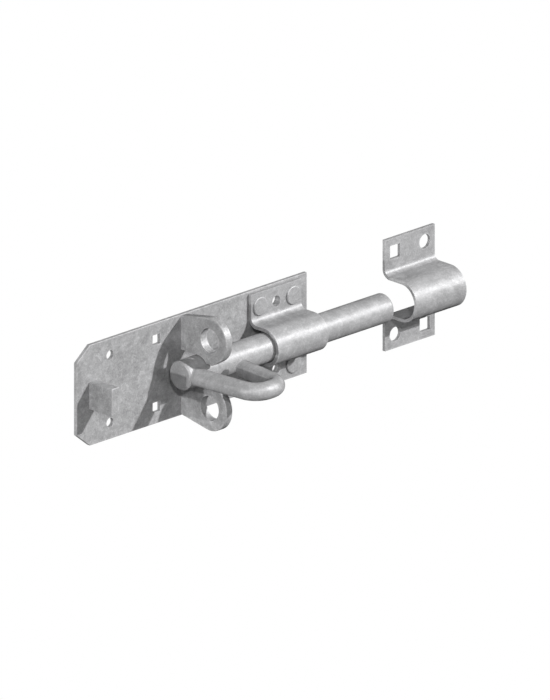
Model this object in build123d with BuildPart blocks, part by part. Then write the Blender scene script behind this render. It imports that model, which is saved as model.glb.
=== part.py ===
from build123d import *

import os
from math import atan, hypot, pi, radians, tan

# Sliding door bolt with a loop handle and two padlock eyes, galvanised steel, millimetres.
# Origin in the middle of the back plate's back face. +X runs along the bar to the keeper,
# -Y comes out from the door and +Z is up. A depth is a distance out from the door, along -Y.
# An inset is a distance along X from the back plate's tail end.

# Back plate
plate_length = 200.0
plate_height = 65.5
plate_thickness = 2.5
corner_cut_along = 11.5
corner_cut_up = 9.3
fixing_spread = 44.0
screw_hole_diameter = 6.0
screw_hole_inset = 28.8
square_hole_width = 6.5
square_hole_inset = 69.2

# Bar
bar_diameter = 18.8
bar_length = 177.3
bar_inset = 75.6
bar_gap_to_plate = 4.5
bar_tail_chamfer = 1.0
bar_nose_radius = 1.5

# Tail stop
stop_inset = 10.8
stop_thickness = 6.4
stop_height = 18.0
stop_projection = 19.7

# Padlock lugs
lug_thickness = 5.4
lug_lobe_radius = 14.7
eye_diameter = 15.8
eye_projection = 24.9
eye_height = 22.0
lug_bar_clearance = 0.5
lug_rod_clearance = 0.3
lug_leg_clearance = 0.34
lug_root_reach = 32.2
lug_nose_projection = 26.4
lug_nose_radius = 2.0

# Loop handle: its tail leg is fixed to the bar, its keeper leg ends free, short of the bar
rod_diameter = 11.4
handle_from_bar_end = 5.7
loop_root_width = 33.3
loop_reach = 56.4
loop_end_flat = 2.7
tail_leg_lean = 4.5
keeper_leg_lean = 6.9
loop_mouth = 8.6
rod_end_chamfer = 0.5
weld_gap = 0.05

# Guide strap
strap_inset = 149.1
strap_length = 43.7
strap_height = 63.0
strap_thickness = 2.5
strap_clearance = 0.4
strap_bend_radius = 4.0
strap_hole_diameter = 7.0

# Strap rivets
rivet_pitch = 28.8
rivet_spread = 44.8
rivet_head_diameter = 12.0
rivet_head_height = 1.2
rivet_head_edge_radius = 0.8
rivet_shank_diameter = 6.0
rivet_tail_diameter = 8.6
rivet_tail_angle = 90.0
rivet_clearance = 0.05

# Keeper
keeper_inset = 267.9
keeper_length = 43.7
keeper_height = 72.4
keeper_thickness = 2.2
keeper_clearance = 1.8
keeper_bend_radius = 3.8
keeper_hole_pitch = 25.8
keeper_hole_spread = 54.0
keeper_round_hole_diameter = 9.3
keeper_square_hole_width = 8.7

# Sheared and filed edges
sheet_edge_break = 0.25
lug_edge_break = 0.4
stop_edge_radius = 0.5
square_hole_corner_radius = 0.4

# Places worked out from the sizes above
tail_x = -plate_length / 2
bar_radius = bar_diameter / 2
rod_radius = rod_diameter / 2
bar_axis_depth = plate_thickness + bar_gap_to_plate + bar_radius
bar_end_x = tail_x + bar_inset
tail_leg_x = bar_end_x + handle_from_bar_end
keeper_leg_x = tail_leg_x + loop_root_width
strap_centre_x = tail_x + strap_inset + strap_length / 2
keeper_centre_x = tail_x + keeper_inset + keeper_length / 2

# The lugs stand just clear of the loop's tail leg, which leans over them as the loop is turned
lug_lobe_reach = hypot(plate_thickness + eye_projection - bar_axis_depth, eye_height) + lug_lobe_radius
leg_slope = tail_leg_lean / loop_reach
leg_side_x = tail_leg_x + leg_slope * lug_lobe_reach + rod_radius * hypot(1, leg_slope)
lug_x = leg_side_x + lug_leg_clearance

# The loop's two bends leave a short flat between them at its outer end
loop_end_width = loop_root_width - tail_leg_lean - keeper_leg_lean
tail_turn = pi / 2 - atan(tail_leg_lean / loop_reach)
keeper_turn = pi / 2 - atan(keeper_leg_lean / loop_reach)
loop_bend_radius = (loop_end_width - loop_end_flat) / (tan(tail_turn / 2) + tan(keeper_turn / 2))
free_end_reach = bar_radius + loop_mouth
free_end_x = keeper_leg_x - keeper_leg_lean * free_end_reach / loop_reach


def door_plane(depth=0):
    """Plane parallel to the door: sketches are X across and Z up, extrusions come out from it."""
    return Plane(origin=(0, -depth, 0), x_dir=(1, 0, 0), z_dir=(0, -1, 0))


def cross_plane(x):
    """Plane across the bar: sketches are depth across and Z up, extrusions run to the tail."""
    return Plane(origin=(x, 0, 0), x_dir=(0, -1, 0), z_dir=(-1, 0, 0))


def omega_section(foot_depth, height, thickness, clearance, bend_radius):
    """Centreline of half a pressed strap, traced at the sheet's thickness and mirrored."""
    barrel_radius = bar_radius + clearance + thickness / 2
    foot_line = foot_depth + thickness / 2
    with BuildLine() as centreline:
        FilletPolyline(
            (foot_line, height / 2),
            (foot_line, barrel_radius),
            (bar_axis_depth, barrel_radius),
            radius=bend_radius + thickness / 2,
        )
        RadiusArc((bar_axis_depth, barrel_radius), (bar_axis_depth + barrel_radius, 0), barrel_radius)
        mirror(about=Plane.XZ)
    trace(centreline.line, line_width=thickness)


# Back plate: one flat sheet with its tail corners cut off
strap_rivet_places = [
    (strap_centre_x + side * rivet_pitch / 2, level * rivet_spread / 2)
    for level in (1, -1)
    for side in (-1, 1)
]
with BuildPart() as back_plate:
    with BuildSketch(door_plane()):
        with BuildLine():
            Polyline(
                (tail_x, plate_height / 2 - corner_cut_up),
                (tail_x + corner_cut_along, plate_height / 2),
                (-tail_x, plate_height / 2),
                (-tail_x, -plate_height / 2),
                (tail_x + corner_cut_along, -plate_height / 2),
                (tail_x, -plate_height / 2 + corner_cut_up),
                close=True,
            )
        make_face()
        with Locations((tail_x + screw_hole_inset, 0)):
            with GridLocations(0, fixing_spread, 1, 2):
                Circle(screw_hole_diameter / 2, mode=Mode.SUBTRACT)
        with Locations((tail_x + square_hole_inset, 0)):
            with GridLocations(0, fixing_spread, 1, 2):
                RectangleRounded(
                    square_hole_width, square_hole_width, square_hole_corner_radius, mode=Mode.SUBTRACT
                )
        with Locations((strap_centre_x, 0)):
            with GridLocations(0, fixing_spread, 1, 2):
                Circle(strap_hole_diameter / 2, mode=Mode.SUBTRACT)
    extrude(amount=plate_thickness)
    front_face = back_plate.faces().sort_by(Axis.Y)[0]
    chamfer(front_face.outer_wire().edges(), sheet_edge_break)
    with Locations(*[Plane(origin=(x, 0, z), z_dir=(0, 1, 0)) for x, z in strap_rivet_places]):
        CounterSinkHole(
            rivet_shank_diameter / 2 + rivet_clearance,
            rivet_tail_diameter / 2 + rivet_clearance,
            counter_sink_angle=rivet_tail_angle,
        )
back_plate.part.label = "back_plate"

# Tail stop: a short block standing on the plate behind the bar
with BuildPart() as tail_stop:
    with BuildSketch(door_plane(plate_thickness)):
        with Locations((tail_x + stop_inset + stop_thickness / 2, 0)):
            Rectangle(stop_thickness, stop_height)
    extrude(amount=stop_projection)
    outer_edges = tail_stop.edges().filter_by(Axis.Y) + tail_stop.faces().sort_by(Axis.Y)[0].edges()
    fillet(outer_edges, stop_edge_radius)
tail_stop.part.label = "tail_stop"

# Padlock lugs: flat blanks hollowed round the bar, with a slot between them for the handle
slot_half = rod_radius + lug_rod_clearance
recess_radius = bar_radius + lug_bar_clearance
with BuildPart() as upper_lug:
    with BuildSketch(cross_plane(lug_x + lug_thickness)):
        eye_depth = plate_thickness + eye_projection
        nose_depth = plate_thickness + lug_nose_projection
        with BuildLine():
            Line((plate_thickness, slot_half), (plate_thickness, lug_root_reach))
            CenterArc((eye_depth, eye_height), lug_lobe_radius, 0, 360)
            CenterArc((nose_depth, slot_half + lug_nose_radius), lug_nose_radius, 0, 360)
        make_hull()
        with Locations((eye_depth, eye_height)):
            Circle(eye_diameter / 2, mode=Mode.SUBTRACT)
        with Locations((bar_axis_depth, 0)):
            Circle(recess_radius, mode=Mode.SUBTRACT)
        with Locations((bar_axis_depth / 2, 0)):
            Rectangle(bar_axis_depth, 2 * recess_radius, mode=Mode.SUBTRACT)
    extrude(amount=lug_thickness)
    root_edges = upper_lug.faces().sort_by(Axis.Y)[-1].edges()
    face_edges = [edge for face in upper_lug.faces().filter_by(Axis.X) for edge in face.outer_wire().edges()]
    chamfer([edge for edge in face_edges if edge not in root_edges], lug_edge_break)
upper_lug.part.label = "upper_lug"

with BuildPart() as lower_lug:
    add(mirror(upper_lug.part, about=Plane.XY, mode=Mode.PRIVATE))
lower_lug.part.label = "lower_lug"

# Guide strap: a pressed sheet over the bar, with a foot above and below
with BuildPart() as guide_strap:
    with BuildSketch(cross_plane(strap_centre_x + strap_length / 2)):
        omega_section(plate_thickness, strap_height, strap_thickness, strap_clearance, strap_bend_radius)
    extrude(amount=strap_length)
    chamfer(guide_strap.faces().filter_by(Axis.X).edges(), sheet_edge_break)
    with BuildSketch(door_plane(plate_thickness)):
        with Locations((strap_centre_x, 0)):
            with GridLocations(0, fixing_spread, 1, 2):
                Circle(strap_hole_diameter / 2)
            with GridLocations(rivet_pitch, rivet_spread, 2, 2):
                Circle(rivet_shank_diameter / 2 + rivet_clearance)
    extrude(amount=strap_thickness, mode=Mode.SUBTRACT)
guide_strap.part.label = "guide_strap"

# Strap rivets: low round heads, shanks through strap and plate, tails closed flush at the back
rivet_names = ["rivet_upper_tail", "rivet_upper_keeper", "rivet_lower_tail", "rivet_lower_keeper"]
rivets = []
rivet_seat = plate_thickness + strap_thickness
tail_cone_depth = (rivet_tail_diameter - rivet_shank_diameter) / 2 / tan(radians(rivet_tail_angle / 2))
for rivet_name, (x, z) in zip(rivet_names, strap_rivet_places):
    with BuildPart() as rivet:
        rivet_plane = Plane(origin=(x, 0, z), x_dir=(1, 0, 0), z_dir=(0, 0, 1))
        with BuildSketch(rivet_plane):
            with BuildLine():
                Polyline(
                    (0, 0),
                    (rivet_tail_diameter / 2, 0),
                    (rivet_shank_diameter / 2, -tail_cone_depth),
                    (rivet_shank_diameter / 2, -rivet_seat),
                    (rivet_head_diameter / 2, -rivet_seat),
                    (rivet_head_diameter / 2, -rivet_seat - rivet_head_height),
                    (0, -rivet_seat - rivet_head_height),
                    close=True,
                )
            make_face()
        revolve(axis=Axis((x, 0, z), (0, 1, 0)))
        fillet(rivet.faces().sort_by(Axis.Y)[0].edges(), rivet_head_edge_radius)
    rivet.part.label = rivet_name
    rivets.append(rivet)

# Bar: turned round stock, chamfered at the tail and rounded at the nose
with BuildPart() as bolt_bar:
    with BuildSketch(cross_plane(bar_end_x + bar_length)):
        with Locations((bar_axis_depth, 0)):
            Circle(bar_radius)
    extrude(amount=bar_length)
    chamfer(bolt_bar.faces().sort_by(Axis.X)[0].edges(), bar_tail_chamfer)
    fillet(bolt_bar.faces().sort_by(Axis.X)[-1].edges(), bar_nose_radius)
bolt_bar.part.label = "bolt_bar"

# Loop handle: one bent rod, coped at one end to sit on the bar, cut square at the free end
with BuildPart() as handle_loop:
    loop_plane = Plane(origin=(0, -bar_axis_depth, 0), x_dir=(1, 0, 0), z_dir=(0, 0, -1))
    with BuildLine(loop_plane) as loop_line:
        FilletPolyline(
            (tail_leg_x, 0),
            (tail_leg_x + tail_leg_lean, loop_reach),
            (keeper_leg_x - keeper_leg_lean, loop_reach),
            (free_end_x, free_end_reach),
            radius=loop_bend_radius,
        )
    with BuildSketch(Plane(origin=loop_line.line @ 0, z_dir=loop_line.line % 0)):
        Circle(rod_radius)
    sweep()
    free_end = handle_loop.faces().filter_by(GeomType.PLANE).sort_by(Axis.X)[-1]
    chamfer(free_end.edges(), rod_end_chamfer)
    with BuildSketch(cross_plane(tail_leg_x + rod_diameter)):
        with Locations((bar_axis_depth, 0)):
            Circle(bar_radius + weld_gap)
    extrude(amount=2 * rod_diameter, mode=Mode.SUBTRACT)
handle_loop.part.label = "handle_loop"

# Keeper: a wider pressed strap for the post, with two square and two round holes
with BuildPart() as keeper:
    with BuildSketch(cross_plane(keeper_centre_x + keeper_length / 2)):
        omega_section(0, keeper_height, keeper_thickness, keeper_clearance, keeper_bend_radius)
    extrude(amount=keeper_length)
    chamfer(keeper.faces().filter_by(Axis.X).edges(), sheet_edge_break)
    with BuildSketch(door_plane()):
        for side in (-1, 1):
            hole_x = keeper_centre_x + side * keeper_hole_pitch / 2
            with Locations((hole_x, side * keeper_hole_spread / 2)):
                Circle(keeper_round_hole_diameter / 2)
            with Locations((hole_x, -side * keeper_hole_spread / 2)):
                RectangleRounded(
                    keeper_square_hole_width, keeper_square_hole_width, square_hole_corner_radius
                )
    extrude(amount=keeper_thickness, mode=Mode.SUBTRACT)
keeper.part.label = "keeper"

os.makedirs("parts", exist_ok=True)
pieces = [back_plate, tail_stop, upper_lug, lower_lug, guide_strap, bolt_bar, handle_loop, keeper]
for piece in pieces + rivets:
    export_step(piece.part, f"parts/{piece.part.label}.step")
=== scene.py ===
import math

import bmesh
import bpy
from bpy.props import FloatProperty, FloatVectorProperty, IntProperty, PointerProperty
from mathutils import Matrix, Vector

bl_info = {
    "name": "Galvanised Door Bolt",
    "version": (1, 0, 0),
    "blender": (4, 5, 0),
    "location": "View3D > Sidebar > Door Bolt",
    "description": "Finishes a sliding door bolt in hot-dip galvanised steel and lights it",
    "category": "Object",
}

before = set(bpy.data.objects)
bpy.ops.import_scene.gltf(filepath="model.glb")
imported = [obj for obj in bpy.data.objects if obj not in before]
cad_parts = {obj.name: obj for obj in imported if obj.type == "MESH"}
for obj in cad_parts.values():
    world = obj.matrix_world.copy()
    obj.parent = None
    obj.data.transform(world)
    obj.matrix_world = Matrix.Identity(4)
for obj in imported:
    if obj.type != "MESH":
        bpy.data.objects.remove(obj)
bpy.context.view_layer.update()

PLATE_NODES = ("back_plate",)
PRESSED_NODES = ("guide_strap", "keeper")
BLOCK_NODES = ("tail_stop", "upper_lug", "lower_lug")
ROUND_NODES = ("bolt_bar", "handle_loop")
RIVET_NODES = tuple(sorted(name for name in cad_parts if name.startswith("rivet_")))

# Where each group's finish differs from the defaults. The pressed sheet and the round parts are
# drawn smooth, so their zinc is calmer.
LOOKS = {
    "bolt_plate": {"seed": 1, "mottle_depth": 0.4},
    "bolt_pressed": {"seed": 2, "mottle_depth": 0.34, "ripple": 0.36},
    "bolt_block": {"seed": 11, "mottle_depth": 0.42},
    "bolt_round": {"seed": 21, "mottle_depth": 0.32, "ripple": 0.36},
    # The rivets get less of the painted edge highlight and wear.
    "bolt_rivet": {"seed": 31, "mottle_depth": 0.4, "edge_wear_and_highlight": 0.15},
}

# The clouds that the zinc's pattern is made of. Scale says how much finer a layer is than the
# mottle, and edges are the levels between which a cloud is sharpened into patches.
CLOUDS = {
    "mottle": {"scale": 1, "detail": 5, "roughness": 0.62, "distortion": 0.8},
    "broad": {"scale": 0.25, "detail": 2},
    "patches": {"scale": 0.55, "detail": 3, "distortion": 1.5, "edges": (0.46, 0.56)},
    "flecks": {"scale": 2.6, "detail": 3, "distortion": 0.6, "edges": (0.52, 0.64)},
    "grain": {"scale": 7, "detail": 2},
}

# Each layer's middle level, and its share of what changes over the surface. The streaks have a
# depth of their own in the colour.
SHARES = {
    "mottle": {"middle": 0.5, "colour": 0.75, "roughness": 0.2, "height": 0.6},
    "broad": {"middle": 0.5, "colour": 0.4},
    "patches": {"middle": 0.5, "colour": 0.26, "roughness": 0.06, "height": 0.1},
    "flecks": {"middle": 0.3, "colour": 0.42, "height": 0.05},
    "grain": {"middle": 0.5, "colour": 1.6, "height": 0.15},
    "crystals": {"middle": 0.5, "colour": 0.34, "roughness": 0.08},
    "streaks": {"middle": 0.5, "height": 0.2},
}

# How far one step of the seed moves the pattern along X and Y, in metres
SEED_STEP = (0.37, 0.53)

# Crystals are cells a little larger than the mottle, with borders that wander by this many metres
CRYSTAL_SCALE = 0.8
CRYSTAL_SMOOTHNESS = 0.3
CRYSTAL_WANDER = 0.004

# Streaks are clouds squeezed across the grain and drawn out along it
STREAK_CLOUDS = {"scale": 0.35, "detail": 3}
SQUEEZE_ACROSS = 9.0
SQUEEZE_ALONG = 0.6

WAVE_HEIGHT = 0.0006
EDGE_SAMPLES = 8

CAMERA_DISTANCE = 1.5
CAMERA_REACH = 20
FLOOR_SIDES = 96
WHITE = (1, 1, 1, 1)

# Each lamp's name, the direction that it shines from, and the studio's setting of its strength
LAMPS = (
    ("right_key", (0.65, -1, 0.73), "key_strength"),
    ("left_key", (-0.75, -1, 0.65), "left_key_strength"),
    ("left_wide_key", (-1.6, -1, 0.94), "left_wide_strength"),
    ("left_side", (-1, 0, 0.14), "side_strength"),
    ("back_left", (-0.5, 1, -0.1), "back_strength"),
    ("back_right", (0.8, 1, -0.1), "back_strength"),
)


class Wire:
    """A node's output that takes part in plain arithmetic. Each operation adds a Math node."""

    def __init__(self, tree, socket):
        self.tree = tree
        self.socket = socket

    def math(self, operation, first, second):
        return self.tree.node("ShaderNodeMath", {"operation": operation}, {0: first, 1: second})

    def __add__(self, other):
        return self.math("ADD", self, other)

    def __radd__(self, other):
        return self.math("ADD", other, self)

    def __sub__(self, other):
        return self.math("SUBTRACT", self, other)

    def __rsub__(self, other):
        return self.math("SUBTRACT", other, self)

    def __mul__(self, other):
        return self.math("MULTIPLY", self, other)

    def __rmul__(self, other):
        return self.math("MULTIPLY", other, self)


class NodeTree:
    """A node tree that is being filled, for a material or the world."""

    def __init__(self, tree):
        self.tree = tree
        tree.nodes.clear()

    def node(self, kind, settings=None, sockets=None, output=0):
        """Adds a node of a kind: its settings first, then the values or wires of its sockets."""
        node = self.tree.nodes.new(kind)
        for name, value in (settings or {}).items():
            if name == "stops":
                self.set_stops(node.color_ramp, value)
            else:
                setattr(node, name, value)
        for name, value in (sockets or {}).items():
            if isinstance(value, Wire):
                self.tree.links.new(value.socket, node.inputs[name])
            else:
                node.inputs[name].default_value = value
        return Wire(self, node.outputs[output] if node.outputs else None)

    def set_stops(self, ramp, stops):
        """Gives a colour ramp its grey stops, as pairs of place and level."""
        while len(ramp.elements) < len(stops):
            ramp.elements.new(1)
        for element, (place, level) in zip(ramp.elements, stops):
            element.position = place
            element.color = (level, level, level, 1)


class FinishLook(bpy.types.PropertyGroup):
    """The zinc finish of one group of pieces."""

    colour: FloatVectorProperty(
        name="Zinc colour", description="Middle colour of the zinc coat", subtype="COLOR", size=3,
        min=0, max=1, default=(0.4, 0.4, 0.405),
    )
    mottle_depth: FloatProperty(
        name="Mottle depth", description="How far the zinc's colour swings about its middle",
        subtype="FACTOR", min=0, max=1, default=0.5,
    )
    mottle_size: FloatProperty(
        name="Mottle size", description="Width of a typical cloud in the zinc", unit="LENGTH",
        min=0.001, max=0.05, default=0.006,
    )
    streak_depth: FloatProperty(
        name="Streak depth", description="How far the drawn or rolled lines show in the colour",
        subtype="FACTOR", min=0, max=1, default=0.2,
    )
    roughness: FloatProperty(
        name="Roughness", description="Middle roughness of the zinc coat", subtype="FACTOR",
        min=0, max=1, default=0.49,
    )
    ripple: FloatProperty(
        name="Ripple", description="Height of the coat's small waves, as the bump's strength",
        subtype="FACTOR", min=0, max=1, default=0.45,
    )
    metal: FloatProperty(
        name="Metal share", description="How much of the coat shines like bare metal",
        subtype="FACTOR", min=0, max=1, default=0.28,
    )
    # Edge wear paints outer edges lighter: partly worn zinc, partly a painted highlight such as a
    # rounded edge catches.
    edge_wear_and_highlight: FloatProperty(
        name="Edge wear", description="How much lighter the coat is along outer edges",
        subtype="FACTOR", min=0, max=1, default=0.4,
    )
    edge_width: FloatProperty(
        name="Edge width", description="How far the wear reaches in from an edge", unit="LENGTH",
        min=0.0001, max=0.01, default=0.0012,
    )
    seed: IntProperty(
        name="Seed", description="Shifts the pattern so that pieces differ", default=0,
    )


class StudioLook(bpy.types.PropertyGroup):
    """The camera, the lamps, the floor and the background."""

    view_height: FloatProperty(
        name="View height", description="What the camera frames along the picture's long side",
        unit="LENGTH", default=0.4301,
    )
    view_azimuth: FloatProperty(
        name="View azimuth", description="Camera's turn about the bolt, from straight in front",
        subtype="ANGLE", default=math.radians(-45),
    )
    view_elevation: FloatProperty(
        name="View elevation", description="Camera's height above the level", subtype="ANGLE",
        default=math.radians(19.65),
    )
    aim: FloatVectorProperty(
        name="Aim", description="Point in the middle of the picture", unit="LENGTH", size=3,
        default=(0.0583, -0.0164, -0.0039),
    )
    key_strength: FloatProperty(
        name="Right key", description="Strength of the main lamp, right front and above",
        default=1.12,
    )
    left_key_strength: FloatProperty(
        name="Left key", description="Strength of the second lamp, left front and above",
        default=0.29,
    )
    left_wide_strength: FloatProperty(
        name="Left wide key", description="Strength of the third lamp, further to the left",
        default=0.1,
    )
    side_strength: FloatProperty(
        name="Left side", description="Strength of the low lamp at the tail end", default=0.44,
    )
    back_strength: FloatProperty(
        name="Back", description="Strength of the lamps behind the door's plane", default=0.3,
    )
    ambient: FloatProperty(
        name="Ambient", description="Strength of the light from all round", default=0.01,
    )
    lamp_angle: FloatProperty(
        name="Lamp angle", description="Apparent width of each lamp, which softens its shadows",
        subtype="ANGLE", default=math.radians(1.5),
    )
    floor_drop: FloatProperty(
        name="Floor drop", description="How far the floor lies below the bolt", unit="LENGTH",
        default=1.4,
    )
    floor_radius: FloatProperty(
        name="Floor radius", description="Radius of the floor disc", unit="LENGTH", default=0.6,
    )
    floor_colour: FloatVectorProperty(
        name="Floor colour", description="Matt colour of the floor", subtype="COLOR", size=3,
        min=0, max=1, default=(0.7, 0.7, 0.7),
    )
    floor_glow: FloatProperty(
        name="Floor glow", description="White added where the floor is seen, so that it looks pale",
        subtype="FACTOR", min=0, max=1, default=0.6,
    )


def swing(fields, kind):
    """Adds up layers about their middle levels, by their shares in one kind of change."""
    total = None
    for name, field in fields.items():
        if kind not in SHARES[name]:
            continue
        part = (field - SHARES[name]["middle"]) * SHARES[name][kind]
        total = part if total is None else total + part
    return total


def galvanised(name, look, seed, grain_axis):
    """A hot-dip zinc coat with a mottled pattern, lines along one axis, waves, and outer edges
    painted lighter, partly as worn zinc and partly as a painted highlight.
    """
    material = bpy.data.materials.new(name)
    material.use_nodes = True
    tree = NodeTree(material.node_tree)
    place = tree.node("ShaderNodeTexCoord", output="Object")
    shifted = tree.node("ShaderNodeMapping", None, {
        "Vector": place, "Location": (seed * SEED_STEP[0], seed * SEED_STEP[1], 0),
    })
    per_metre = 1 / look.mottle_size

    def clouds(scale, detail, roughness=0.55, distortion=0.0, edges=None, vector=shifted):
        """Soft noise, sharpened into patches with soft borders where edges are given."""
        noise = tree.node("ShaderNodeTexNoise", None, {
            "Vector": vector, "Scale": per_metre * scale, "Detail": detail,
            "Roughness": roughness, "Distortion": distortion,
        })
        if edges is None:
            return noise
        low, high = edges
        ramp = tree.node("ShaderNodeValToRGB", {"stops": [(low, 0.0), (high, 1.0)]}, {0: noise})
        return tree.node("ShaderNodeSeparateColor", None, {0: ramp})

    fields = {layer: clouds(**settings) for layer, settings in CLOUDS.items()}

    wander = tree.node(
        "ShaderNodeTexNoise", None, {"Vector": shifted, "Scale": per_metre}, output="Color"
    )
    wandering = tree.node(
        "ShaderNodeVectorMath", {"operation": "MULTIPLY_ADD"},
        {0: wander, 1: (CRYSTAL_WANDER,) * 3, 2: shifted},
    )
    cells = tree.node(
        "ShaderNodeTexVoronoi", {"feature": "SMOOTH_F1"},
        {"Vector": wandering, "Scale": per_metre * CRYSTAL_SCALE,
         "Smoothness": CRYSTAL_SMOOTHNESS},
        output="Color",
    )
    fields["crystals"] = tree.node("ShaderNodeSeparateColor", None, {0: cells})

    squeeze = [SQUEEZE_ACROSS] * 3
    squeeze[grain_axis] = SQUEEZE_ALONG
    stretched = tree.node("ShaderNodeMapping", None, {"Vector": shifted, "Scale": tuple(squeeze)})
    fields["streaks"] = clouds(**STREAK_CLOUDS, vector=stretched)
    streak = fields["streaks"] - SHARES["streaks"]["middle"]

    # Outer edges, found by ambient occlusion inside the piece, are painted lighter: partly worn
    # zinc, partly a painted highlight where a rounded edge would catch the light.
    edge = 1 - tree.node(
        "ShaderNodeAmbientOcclusion",
        {"inside": True, "only_local": True, "samples": EDGE_SAMPLES},
        {"Distance": look.edge_width}, output="AO",
    )

    level = (
        1 + swing(fields, "colour") * look.mottle_depth + streak * look.streak_depth
        + edge * look.edge_wear_and_highlight
    )
    colour = tree.node(
        "ShaderNodeVectorMath", {"operation": "SCALE"}, {0: tuple(look.colour), "Scale": level}
    )
    bump = tree.node("ShaderNodeBump", None, {
        "Strength": look.ripple, "Distance": WAVE_HEIGHT, "Height": swing(fields, "height"),
    })
    zinc = tree.node("ShaderNodeBsdfPrincipled", None, {
        "Base Color": colour, "Metallic": look.metal,
        "Roughness": look.roughness + swing(fields, "roughness"), "Normal": bump,
        "Specular IOR Level": 0.0, "Specular Tint": (0.0, 0.0, 0.0, 1),
    })
    tree.node("ShaderNodeOutputMaterial", None, {"Surface": zinc})
    return material


def dress(names, material):
    """Gives CAD nodes a material in place of the plain one."""
    for name in names:
        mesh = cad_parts[name].data
        mesh.materials.clear()
        mesh.materials.append(material)


def dress_each(names, look, grain_axis):
    """Gives each CAD node a zinc coat of its own, with the pattern shifted from one to the next."""
    for number, name in enumerate(names):
        dress([name], galvanised(f"zinc_{name}", look, look.seed + number, grain_axis))


class PlatePiece(bpy.types.Operator):
    """Finish the back plate"""

    bl_idname = "door_bolt.plate_piece"
    bl_label = "Back Plate"

    def execute(self, context):
        dress_each(PLATE_NODES, context.scene.bolt_plate, grain_axis=0)
        return {"FINISHED"}


class PressedPieces(bpy.types.Operator):
    """Finish the guide strap and the keeper"""

    bl_idname = "door_bolt.pressed_pieces"
    bl_label = "Strap and Keeper"

    def execute(self, context):
        dress_each(PRESSED_NODES, context.scene.bolt_pressed, grain_axis=0)
        return {"FINISHED"}


class BlockPieces(bpy.types.Operator):
    """Finish the tail stop and the two padlock lugs"""

    bl_idname = "door_bolt.block_pieces"
    bl_label = "Stop and Lugs"

    def execute(self, context):
        dress_each(BLOCK_NODES, context.scene.bolt_block, grain_axis=1)
        return {"FINISHED"}


class RoundPieces(bpy.types.Operator):
    """Finish the sliding bar and its loop handle"""

    bl_idname = "door_bolt.round_pieces"
    bl_label = "Bar and Handle"

    def execute(self, context):
        dress_each(ROUND_NODES, context.scene.bolt_round, grain_axis=0)
        return {"FINISHED"}


class RivetPieces(bpy.types.Operator):
    """Finish the four rivets of the guide strap"""

    bl_idname = "door_bolt.rivet_pieces"
    bl_label = "Rivets"

    def execute(self, context):
        look = context.scene.bolt_rivet
        dress(RIVET_NODES, galvanised("zinc_rivets", look, look.seed, grain_axis=0))
        return {"FINISHED"}


def lamp(name, direction, strength, angle):
    """A distant lamp that shines from a direction."""
    data = bpy.data.lights.new(name, "SUN")
    data.energy = math.pi * strength
    data.angle = angle
    holder = bpy.data.objects.new(name, data)
    holder.rotation_mode = "QUATERNION"
    holder.rotation_quaternion = Vector(direction).to_track_quat("Z", "Y")
    bpy.context.scene.collection.objects.link(holder)


def seen_directly(tree):
    """One for rays that show the background itself: camera, glossy and transmission rays."""
    camera, glossy, through = (
        tree.node("ShaderNodeLightPath", output=name)
        for name in ("Is Camera Ray", "Is Glossy Ray", "Is Transmission Ray")
    )
    return camera.math("MAXIMUM", camera, glossy.math("MAXIMUM", glossy, through))


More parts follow.
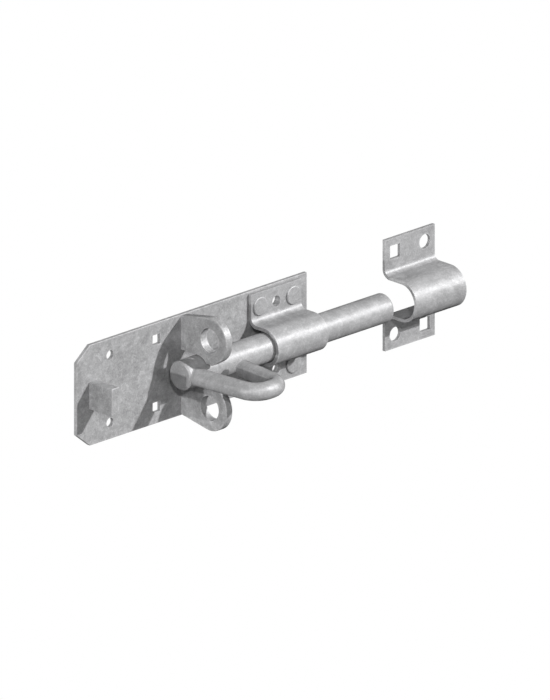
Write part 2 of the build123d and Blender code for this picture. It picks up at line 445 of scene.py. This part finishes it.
class Stage(bpy.types.Operator):
    """Set up the camera, the lamps, the floor and the white background"""

    bl_idname = "door_bolt.stage"
    bl_label = "Studio"

    def execute(self, context):
        studio = context.scene.bolt_studio
        self.make_camera(context, studio)
        for name, direction, strength in LAMPS:
            lamp(name, direction, getattr(studio, strength), studio.lamp_angle)
        self.make_floor(context, studio)
        self.make_background(context, studio)
        context.scene.view_settings.view_transform = "Standard"
        return {"FINISHED"}

    def make_camera(self, context, studio):
        """A parallel camera at the photograph's angle."""
        turn, rise = studio.view_azimuth, studio.view_elevation
        back = Vector((
            math.sin(turn) * math.cos(rise), -math.cos(turn) * math.cos(rise), math.sin(rise),
        ))
        camera = bpy.data.objects.new("camera", bpy.data.cameras.new("camera"))
        camera.data.type = "ORTHO"
        camera.data.ortho_scale = studio.view_height
        camera.data.clip_end = CAMERA_REACH
        camera.location = Vector(studio.aim) + back * CAMERA_DISTANCE
        camera.rotation_mode = "QUATERNION"
        camera.rotation_quaternion = (-back).to_track_quat("-Z", "Y")
        context.scene.collection.objects.link(camera)
        context.scene.camera = camera

    def make_floor(self, context, studio):
        """A pale disc under the bolt, white where lamps reach it and darker in a shadow."""
        mesh = bpy.data.meshes.new("floor")
        shape = bmesh.new()
        bmesh.ops.create_circle(
            shape, cap_ends=True, segments=FLOOR_SIDES, radius=studio.floor_radius
        )
        bmesh.ops.translate(shape, verts=shape.verts, vec=(0, 0, -studio.floor_drop))
        shape.to_mesh(mesh)
        shape.free()
        floor = bpy.data.objects.new("floor", mesh)
        context.scene.collection.objects.link(floor)
        material = bpy.data.materials.new("pale_floor")
        material.use_nodes = True
        tree = NodeTree(material.node_tree)
        matt = tree.node("ShaderNodeBsdfDiffuse", None, {"Color": (*studio.floor_colour, 1)})
        glow = tree.node("ShaderNodeEmission", None, {"Strength": studio.floor_glow})
        both = tree.node("ShaderNodeAddShader", None, {0: matt, 1: glow})
        shown = tree.node("ShaderNodeMixShader", None, {0: seen_directly(tree), 1: matt, 2: both})
        tree.node("ShaderNodeOutputMaterial", None, {"Surface": shown})
        mesh.materials.append(material)

    def make_background(self, context, studio):
        """White where it is seen, in reflections too, and dim as a source of light."""
        world = bpy.data.worlds.new("studio")
        world.use_nodes = True
        tree = NodeTree(world.node_tree)
        dim = tree.node("ShaderNodeBackground", None, {"Color": WHITE, "Strength": studio.ambient})
        white = tree.node("ShaderNodeBackground", None, {"Color": WHITE, "Strength": 1})
        shown = tree.node("ShaderNodeMixShader", None, {0: seen_directly(tree), 1: dim, 2: white})
        tree.node("ShaderNodeOutputWorld", None, {"Surface": shown})
        context.scene.world = world


STEPS = (PlatePiece, PressedPieces, BlockPieces, RoundPieces, RivetPieces, Stage)


class DoorBoltPanel(bpy.types.Panel):
    """The steps of the door bolt, in order"""

    bl_idname = "VIEW3D_PT_door_bolt"
    bl_label = "Door Bolt"
    bl_space_type = "VIEW_3D"
    bl_region_type = "UI"
    bl_category = "Door Bolt"

    def draw(self, context):
        for step in STEPS:
            self.layout.operator(step.bl_idname)


CLASSES = (FinishLook, StudioLook, *STEPS, DoorBoltPanel)


def register():
    for each in CLASSES:
        bpy.utils.register_class(each)
    for name in LOOKS:
        setattr(bpy.types.Scene, name, PointerProperty(type=FinishLook))
    bpy.types.Scene.bolt_studio = PointerProperty(type=StudioLook)


def unregister():
    del bpy.types.Scene.bolt_studio
    for name in LOOKS:
        delattr(bpy.types.Scene, name)
    for each in reversed(CLASSES):
        bpy.utils.unregister_class(each)


def main():
    register()
    for name, values in LOOKS.items():
        for setting, value in values.items():
            setattr(getattr(bpy.context.scene, name), setting, value)
    for step in STEPS:
        group, call = step.bl_idname.split(".")
        getattr(getattr(bpy.ops, group), call)()


if __name__ == "__main__":
    main()
